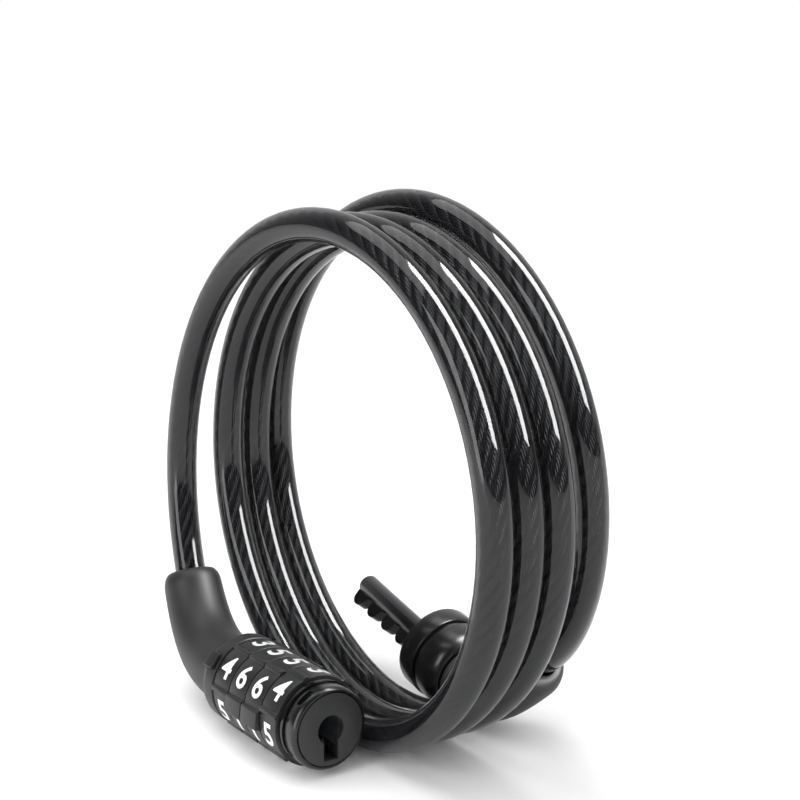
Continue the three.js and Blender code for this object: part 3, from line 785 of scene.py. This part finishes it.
def bent_boot(name, tail, share, foot_radius, waist_radius, mouth_radius):
    """A moulded elbow: turned straight, in millimetres from the cable's bare end, then bent."""
    cable = bpy.context.scene.lock_cable
    points = [bezier(tail, i / 60) for i in range(61)]
    mouth = route_length(points) * share / MM
    foot = -FERRULE_TAIL / MM
    bore = cable.diameter / MM / 2 + BOOT_GAP
    body = mouth - BOOT_SHOULDER
    outer = [(foot, foot_radius - 0.3), (foot + 0.3, foot_radius), (foot + 1.1, foot_radius),
             (foot + 1.5, foot_radius - 0.2)]
    for i in range(BOOT_ROWS + 1):
        outer.append((foot + 2 + (body - foot - 2) * i / BOOT_ROWS,
                      waist_radius + (mouth_radius - waist_radius) * i / BOOT_ROWS))
    drop = mouth_radius - bore - BOOT_LIP
    for i in range(1, 13):
        a = math.radians(7.5 * i)
        outer.append((body + BOOT_SHOULDER * math.sin(a), mouth_radius - drop * (1 - math.cos(a))))
    inner = [(mouth - 0.3, bore)]
    for i in range(1, BOOT_ROWS + 1):
        inner.append((mouth + (foot - mouth) * i / BOOT_ROWS, bore))
    piece = spun(name, outer + inner, steps=72)

    clear_selection()
    bpy.ops.curve.primitive_bezier_curve_add()
    rail = bpy.context.object
    rail.data.splines.clear()
    spline = rail.data.splines.new("BEZIER")
    spline.bezier_points.add(1)
    spline.resolution_u = 48
    for point, (before, at, after) in zip(spline.bezier_points, [
            (tail[0] * 2 - tail[1], tail[0], tail[1]), (tail[2], tail[3], tail[3] * 2 - tail[2])]):
        point.handle_left_type = point.handle_right_type = "FREE"
        point.handle_left, point.co, point.handle_right = before, at, after
    use_modifier(piece, "CURVE", object=rail, deform_axis="POS_X")
    bpy.data.objects.remove(rail)
    return piece


class LOCK_OT_boots(bpy.types.Operator):
    """Make the moulded elbow boots over the cable's two ends"""

    bl_idname = "lock.boots"
    bl_label = "Boots"

    def execute(self, context):
        near = bent_boot("boot_of_head", head_tail(), 0.84, 9.2, 8.9, 7.6)
        finish_piece(near, "root", satin_boot(), "boot", "head_boot")
        far = bent_boot("boot_of_bolt", bolt_tail(), 0.88, 8.6, 8, 8)
        finish_piece(far, "root", satin_boot(), "boot", "bolt_boot")
        return {"FINISHED"}


# ---------------------------------------------------------------- lock head
INDEX_ANGLE = 37  # degrees above the level on the front
DIALS_START = 6.2
DIAL_PITCH = 7.4
DIAL_WIDTH = 7
SHOWN_DIGITS = (4, 6, 6, 4)
REST_TURN = (0, 0, 0, 10)
DIGITS = 6
DIGIT_STEP = 360 / DIGITS
DIAL_RADIUS = 10.9
DIAL_BORE = 8.25
RIDGE = (11.47, 1.3, 0)  # radius, width and shift along the rim
WING = (11.77, 4.4, 1.45)
RIM_ROUND = 0.2  # foot and shoulder of a ridge or wing
RIM_BEVEL = 0.25
FLAT_STEPS = 18
NUMERAL_SIZE = 8.2
NUMERAL_BOLD = 0.12  # added to a digit's outline
NUMERAL_RELIEF = 0.06
NUMERAL_LIFT = 0.02  # paint above the flat
NUMERAL_CUT = 0.25  # between the cuts that let a digit bend
HEAD_PLACE = Matrix.Translation(HEAD_START)


def quarter(centre_x, centre_r, size, start, steps=8):
    """Points of a quarter round in an outline of (x, radius) points, from an angle in degrees."""
    points = []
    for i in range(steps + 1):
        a = math.radians(start - 90 * i / steps)
        points.append((centre_x + size * math.cos(a), centre_r + size * math.sin(a)))
    return points


def on_head(angle, x, radius):
    """A turn that takes a block standing on +Z to an angle above the level on the front."""
    turn = Matrix.Rotation(math.radians(90 - angle), 4, "X")
    return turn @ Matrix.Translation((x * MM, 0, radius * MM))


class LOCK_OT_housing(bpy.types.Operator):
    """Make the lock head's rear housing and the index pad set in it"""

    bl_idname = "lock.housing"
    bl_label = "Rear housing"

    def execute(self, context):
        housing = spun("housing_shell", [
            (0, 4), *quarter(2.2, 8.9, 2.2, 180), (5.6, 11.1), (5.8, 10.9), (5.8, 7), (1.4, 7),
            (1.4, 4)], 128)
        pocket = block("pocket", (4.4, 4.8, 2), (2.85, 0, 11.4))
        place(pocket, on_head(INDEX_ANGLE, 0, 0))
        boolean(housing, pocket)
        soften(housing, 0.16, 2, 40)
        place(housing, HEAD_PLACE)
        finish_piece(housing, "root", satin_moulding(), "housing", "rear_housing")

        pad = block("index_plate", (3.9, 4.2, 1.2), (2.85, 0, 11.35))
        soften(pad, 0.28, 4, 30)
        place(pad, HEAD_PLACE @ on_head(INDEX_ANGLE, 0, 0))
        finish_piece(pad, "root", satin_moulding(), "housing", "index_pad")
        return {"FINISHED"}


def dial_outline():
    """A dial that shows 1: curved flats, a ridge between each two, and the wing after the last digit."""
    outline = []
    for i in range(1, DIGITS + 1):
        at = math.radians(180 - INDEX_ANGLE + (i - 0.5) * DIGIT_STEP)
        top, width, shift = WING if i == DIGITS else RIDGE
        half = width / 2
        shoulder = top - RIM_ROUND
        for along, out in ((-half - RIM_ROUND, 0), (-half, shoulder), (-half + RIM_BEVEL, top),
                           (half - RIM_BEVEL, top), (half, shoulder), (half + RIM_ROUND, 0)):
            side = along + shift
            out = out or math.sqrt(DIAL_RADIUS ** 2 - side ** 2)
            outline.append((out * math.cos(at) - side * math.sin(at),
                            out * math.sin(at) + side * math.cos(at)))
        _, next_width, next_shift = WING if i + 1 == DIGITS else RIDGE
        first = at + math.asin((half + shift + RIM_ROUND) / DIAL_RADIUS)
        last = (at + math.radians(DIGIT_STEP)
                + math.asin((next_shift - next_width / 2 - RIM_ROUND) / DIAL_RADIUS))
        for k in range(1, FLAT_STEPS):
            a = first + (last - first) * k / FLAT_STEPS
            outline.append((DIAL_RADIUS * math.cos(a), DIAL_RADIUS * math.sin(a)))
    return outline


def numeral(digit, angle):
    """A raised digit on its flat, at an angle above the level on the front."""
    clear_selection()
    bpy.ops.object.text_add()
    text = bpy.context.object
    text.data.body = str(digit)
    text.data.size = NUMERAL_SIZE * MM
    text.data.align_x = "CENTER"
    text.data.align_y = "CENTER"
    text.data.offset = NUMERAL_BOLD * MM
    text.data.extrude = NUMERAL_RELIEF * MM
    text.data.resolution_u = 6
    bpy.ops.object.convert(target="MESH")
    bpy.ops.object.mode_set(mode="EDIT")
    for cut in range(-12, 13):
        bpy.ops.mesh.select_all(action="SELECT")
        bpy.ops.mesh.bisect(plane_co=(0, cut * NUMERAL_CUT * MM, 0), plane_no=(0, 1, 0))
    bpy.ops.object.mode_set(mode="OBJECT")
    radius = DIAL_RADIUS * MM
    for vertex in text.data.vertices:
        x, along, height = vertex.co
        a = along / radius
        r = radius + NUMERAL_LIFT * MM + height
        vertex.co = (x, r * math.sin(a), r * math.cos(a))
    a = math.radians(angle)
    turn = Matrix(((1, 0, 0),
                   (0, math.sin(a), -math.cos(a)),
                   (0, math.cos(a), math.sin(a)))).to_4x4()
    text.matrix_world = turn @ Matrix.Translation((DIAL_WIDTH / 2 * MM, 0, 0))
    pick(text)
    bpy.ops.object.transform_apply(location=True, rotation=True, scale=True)
    return text


class LOCK_OT_dials(bpy.types.Operator):
    """Make the four numbered dials"""

    bl_idname = "lock.dials"
    bl_label = "Dials"

    def execute(self, context):
        blank = extruded("dial_blank", dial_outline(), 0, DIAL_WIDTH)
        clear_selection()
        bpy.ops.mesh.primitive_cylinder_add(vertices=96, radius=DIAL_BORE * MM, depth=20 * MM,
                                            rotation=(0, math.pi / 2, 0))
        boolean(blank, context.object)
        soften(blank, 0.18, 3, 28)
        digits = [numeral(i + 1, INDEX_ANGLE - DIGIT_STEP * i) for i in range(DIGITS)]
        clear_selection()
        for digit in digits:
            digit.select_set(True)
        context.view_layer.objects.active = digits[0]
        bpy.ops.object.join()
        paint = context.object
        for i, (shown, past) in enumerate(zip(SHOWN_DIGITS, REST_TURN)):
            turn = Matrix.Rotation(-math.radians(DIGIT_STEP * (shown - 1) + past), 4, "X")
            where = Matrix.Translation(along_head((DIALS_START + DIAL_PITCH * i) * MM)) @ turn
            for source, name, finish, nodes in (
                    (blank, f"number_wheel_{i + 1}", satin_moulding(), (f"dial_{i + 1}",)),
                    (paint, f"numerals_{i + 1}", numeral_paint(), ())):
                pick(source)
                bpy.ops.object.duplicate()
                copy = context.object
                copy.name = name
                place(copy, where)
                finish_piece(copy, f"dial_{i + 1}", finish, "dial", *nodes)
        for source in (blank, paint):
            bpy.data.objects.remove(source)
        return {"FINISHED"}


# The slot under the keyhole, which the bolt's teeth pass: its size, and its middle above the axis.
SLOT_SIZE = (6, 3.9, 4.4)
SLOT_DROP = -5.2
COIN_SLOT_ANGLE = 57  # degrees above the level on the front
FACE_END = 41.9  # front of the end cap, where the bolt's ring stops


class LOCK_OT_face(bpy.types.Operator):
    """Make the gloss neck, the code-change collar and the end cap with its keyhole"""

    bl_idname = "lock.face"
    bl_label = "Face end"

    def execute(self, context):
        neck = spun("neck_ring", [(35.8, 5.15), (35.8, 10.2), (37.2, 10.2), (37.2, 5.15)], 96)
        boolean(neck, block("slot", SLOT_SIZE, (36, 0, SLOT_DROP)))
        soften(neck, 0.2, 3, 40)
        place(neck, HEAD_PLACE)
        finish_piece(neck, "root", gloss_neck(), "neck", "end_flange")

        collar = spun("change_collar", [
            (37.5, 8.35), (37.5, 9.5), (37.6, 9.75), (37.9, 9.9), (40.7, 9.9), (40.9, 9.86), (41.1, 9.76),
            (41.5, 9.5), (41.66, 9.36), (41.7, 9.25), (41.7, 8.95), (40.35, 8.95), (40.35, 8.35)], 160)
        cut = block("coin_slot", (2, 4.4, 2.3), (39.7, 0, 9.75))
        soften(cut, 0.5, 4, 30)
        place(cut, on_head(COIN_SLOT_ANGLE, 0, 0))
        boolean(collar, cut)
        place(collar, HEAD_PLACE)
        finish_piece(collar, "code_change_collar", gloss_moulding(), "housing", "code_change_collar")

        cap = spun("keyhole_cap", [(37.5, 5.15), (37.5, 8), (40.7, 8), (40.7, 8.6), (FACE_END, 8.6),
                                   (FACE_END, 3.45), (40.7, 3.45), (40.7, 5.15)], 128)
        boolean(cap, block("key_slot", SLOT_SIZE, (40, 0, SLOT_DROP)))
        soften(cap, 0.12, 2, 40)
        place(cap, HEAD_PLACE)
        finish_piece(cap, "root", matte_face(), "housing", "end_cap")
        return {"FINISHED"}


# ---------------------------------------------------------------- bolt
SHAFT_RADIUS = 2.85
TOOTH_LENGTH = 4.5
TOOTH_WIDTH = 3.2
TOOTH_DROP = 3.75  # from the axis to the middle of a tooth's round end
TOOTH_PLACE = 2.6  # from the start of a dial to the middle of its tooth
CAP_RADIUS = 10.8
CAP_ROUND, CAP_DROP = 4, 2  # of the cap's rounded back: along the axis and towards it


class LOCK_OT_bolt(bpy.types.Operator):
    """Make the toothed shaft, the bolt's ring and the cap behind it"""

    bl_idname = "lock.bolt"
    bl_label = "Bolt"

    def execute(self, context):
        shaft = spun("toothed_shaft", [
            (-9.7, 0), (-9.7, 6), (-7.3, 6), (-7.3, SHAFT_RADIUS), (35.1, SHAFT_RADIUS), (35.6, 2.6),
            (36, 2.1), (36.25, 1.5), (36.35, 0.8), (36.35, 0)], 64)
        for i in range(len(SHOWN_DIGITS)):
            x = FACE_END - (DIALS_START + DIAL_PITCH * i + TOOTH_PLACE)
            web = block("tooth", (TOOTH_LENGTH, TOOTH_WIDTH, TOOTH_DROP), (x, 0, -TOOTH_DROP / 2))
            clear_selection()
            bpy.ops.mesh.primitive_cylinder_add(vertices=48, radius=TOOTH_LENGTH / 2 * MM,
                                                depth=TOOTH_WIDTH * MM,
                                                location=(x * MM, 0, -TOOTH_DROP * MM),
                                                rotation=(math.pi / 2, 0, 0))
            lobe = context.object
            pick(lobe)
            bpy.ops.object.transform_apply(location=True, rotation=True, scale=True)
            boolean(shaft, web, "UNION")
            boolean(shaft, lobe, "UNION")
        soften(shaft, 0.25, 3, 40)
        place(shaft, bolt_matrix(BOLT_ROLL))
        finish_piece(shaft, "root", dark_plating(), "bolt_steel", "bolt_shaft")

        ring = spun("bolt_collar_ring", [
            (-7, 3.2), (-7, 10), (-6.8, 10.2), (-6.2, 10.2), (-6.15, 10.9), (-6.05, 11.1), (-5.8, 11.2),
            (-0.7, 11.2), (-0.2, 11.05), (0, 10.6), (0, 3.2)], 160)
        place(ring, bolt_matrix())
        finish_piece(ring, "root", gloss_moulding(), "bolt_collar", "bolt_ring")

        end = -BOLT_LENGTH / MM
        round_back = []
        for i in range(13):
            a = math.radians(7.5 * i)
            round_back.append((end + CAP_ROUND * (1 - math.sin(a)),
                               CAP_RADIUS - CAP_DROP * (1 - math.cos(a))))
        cap = spun("bolt_end_cap", [
            (-7.3, 6.4), (-7.3, 10.4), (-7.5, 10.75), (-7.8, CAP_RADIUS), *round_back,
            (end, 4), (-13.8, 4), (-13.8, 6.4)], 160)
        place(cap, bolt_matrix())
        finish_piece(cap, "root", gloss_moulding(), "bolt_collar", "bolt_cap")
        return {"FINISHED"}


class LOCK_OT_inside(bpy.types.Operator):
    """Give the pieces inside the lock, kept as they were built, their metals"""

    bl_idname = "lock.inside"
    bl_label = "Metals inside"

    def execute(self, context):
        steel = ("stack_spring", "detent_spring", "core_pin", "end_cap_pin", "bolt_pin", "head_ferrule",
                 "bolt_ferrule", "head_rope_end", "bolt_rope_end")
        alloy = ("core_tube", *[f"tumbler_{i}" for i in range(1, 5)])
        for names, finish in ((steel, bright_steel()), (alloy, cast_alloy())):
            for name in names:
                piece = context.scene.objects[name]
                piece.data.materials.clear()
                piece.data.materials.append(finish)
        return {"FINISHED"}


class LOCK_PT_panel(bpy.types.Panel):
    """Lists the pieces of the lock"""

    bl_idname = "LOCK_PT_panel"
    bl_label = "Cable lock"
    bl_space_type = "VIEW_3D"
    bl_region_type = "UI"
    bl_category = "Cable lock"

    def draw(self, context):
        for step in STEPS:
            self.layout.operator(step.bl_idname)


SETTINGS = {"lock_cable": LOCK_PG_cable, "lock_finish": LOCK_PG_finish, "lock_stage": LOCK_PG_stage}
STEPS = [LOCK_OT_stage, LOCK_OT_cable, LOCK_OT_boots, LOCK_OT_housing, LOCK_OT_dials, LOCK_OT_face,
         LOCK_OT_bolt, LOCK_OT_inside]
CLASSES = [*SETTINGS.values(), *STEPS, LOCK_PT_panel]


def register():
    for cls in CLASSES:
        bpy.utils.register_class(cls)
    for name, cls in SETTINGS.items():
        setattr(bpy.types.Scene, name, PointerProperty(type=cls))


def unregister():
    for name in SETTINGS:
        delattr(bpy.types.Scene, name)
    for cls in reversed(CLASSES):
        bpy.utils.unregister_class(cls)


def main():
    register()
    for step in STEPS:
        group, name = step.bl_idname.split(".")
        getattr(getattr(bpy.ops, group), name)()


if __name__ == "__main__":
    main()
